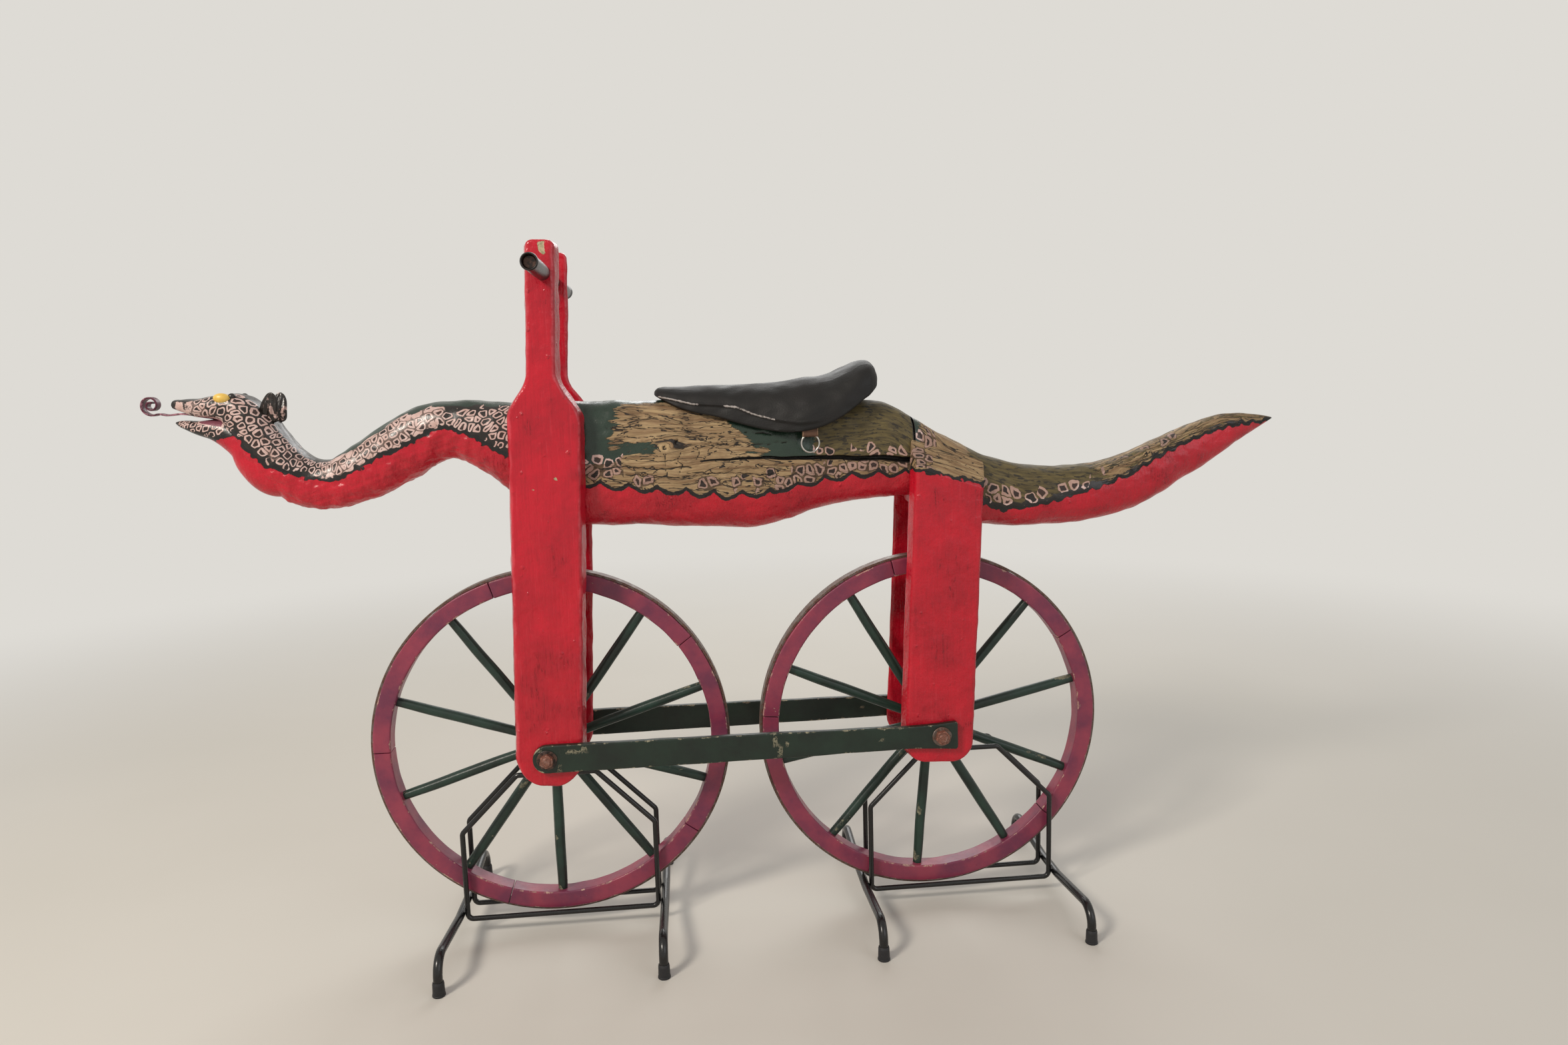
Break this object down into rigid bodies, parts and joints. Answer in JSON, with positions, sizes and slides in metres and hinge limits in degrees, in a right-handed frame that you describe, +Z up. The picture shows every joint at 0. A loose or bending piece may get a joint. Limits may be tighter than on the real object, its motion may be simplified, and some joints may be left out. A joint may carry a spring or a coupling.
{
  "type": "wooden running machine",
  "caption": "Antique wooden two-wheeled running machine with a carved serpent body, leather saddle, fixed handlebar and spoked wooden wheels, parked on two black rod stands.",
  "frame": {"origin": "on the floor under the middle of the whole length, in the middle plane", "axes": "+X to the rear along the length, +Y to the machine's right side, +Z up"},
  "size_m": [1.945, 0.452, 1.1916],
  "materials": {
    "painted_skin": "oil paint, worn, with cream rings on black and a red belly",
    "bare_oak": "weathered bare wood with remnants of green paint",
    "tongue_iron": "dark red paint on thin iron strip",
    "eye_paint": "yellow oil paint with a black pupil",
    "red_paint": "glossy brushed red oil paint",
    "green_paint": "worn dark green oil paint",
    "plum_paint": "worn plum oil paint",
    "dark_iron": "blackened iron",
    "grip_horn": "smooth black horn",
    "saddle_leather": "smooth black leather with worn edges",
    "tab_leather": "brown leather",
    "bright_steel": "bright steel wire",
    "rusty_iron": "rusty iron",
    "tyre_iron": "flat iron hoop, worn and partly painted",
    "stand_paint": "gloss black paint",
    "foot_rubber": "black rubber"
  },
  "bodies": {
    "frame": {"serpent_head_and_neck": "painted_skin", "serpent_tongue": "tongue_iron", "serpent_trunk": "bare_oak", "serpent_tail": "painted_skin", "left_eye": "eye_paint", "right_eye": "eye_paint", "left_front_board": "red_paint", "right_front_board": "red_paint", "left_rear_board": "red_paint", "right_rear_board": "red_paint", "left_link_bar": "green_paint", "right_link_bar": "green_paint", "handlebar": "dark_iron", "left_grip": "grip_horn", "right_grip": "grip_horn", "saddle": "saddle_leather", "saddle_rings": "bright_steel", "saddle_ring_tabs": "tab_leather", "front_axle": "rusty_iron", "rear_axle": "rusty_iron", "left_front_nut": "rusty_iron", "right_front_nut": "rusty_iron", "left_rear_nut": "rusty_iron", "right_rear_nut": "rusty_iron", "front_stand_left_hoop": "stand_paint", "front_stand_right_hoop": "stand_paint", "front_stand_front_leg": "stand_paint", "front_stand_rear_leg": "stand_paint", "front_stand_feet": "foot_rubber", "rear_stand_left_hoop": "stand_paint", "rear_stand_right_hoop": "stand_paint", "rear_stand_front_leg": "stand_paint", "rear_stand_rear_leg": "stand_paint", "rear_stand_feet": "foot_rubber"},
    "front_wheel": {"front_wheel_hub": "green_paint", "front_wheel_spokes": "green_paint", "front_wheel_felloes": "plum_paint", "front_wheel_tyre": "tyre_iron"},
    "rear_wheel": {"rear_wheel_hub": "green_paint", "rear_wheel_spokes": "green_paint", "rear_wheel_felloes": "plum_paint", "rear_wheel_tyre": "tyre_iron"}
  },
  "joints": [
    {"name": "front_wheel_spin", "type": "hinge", "parent": "frame", "child": "front_wheel", "pos_m": [-0.3425, 0, 0.342], "axis": [0, 1, 0], "continuous": true},
    {"name": "rear_wheel_spin", "type": "hinge", "parent": "frame", "child": "rear_wheel", "pos_m": [0.3315, 0, 0.342], "axis": [0, 1, 0], "continuous": true}
  ]
}
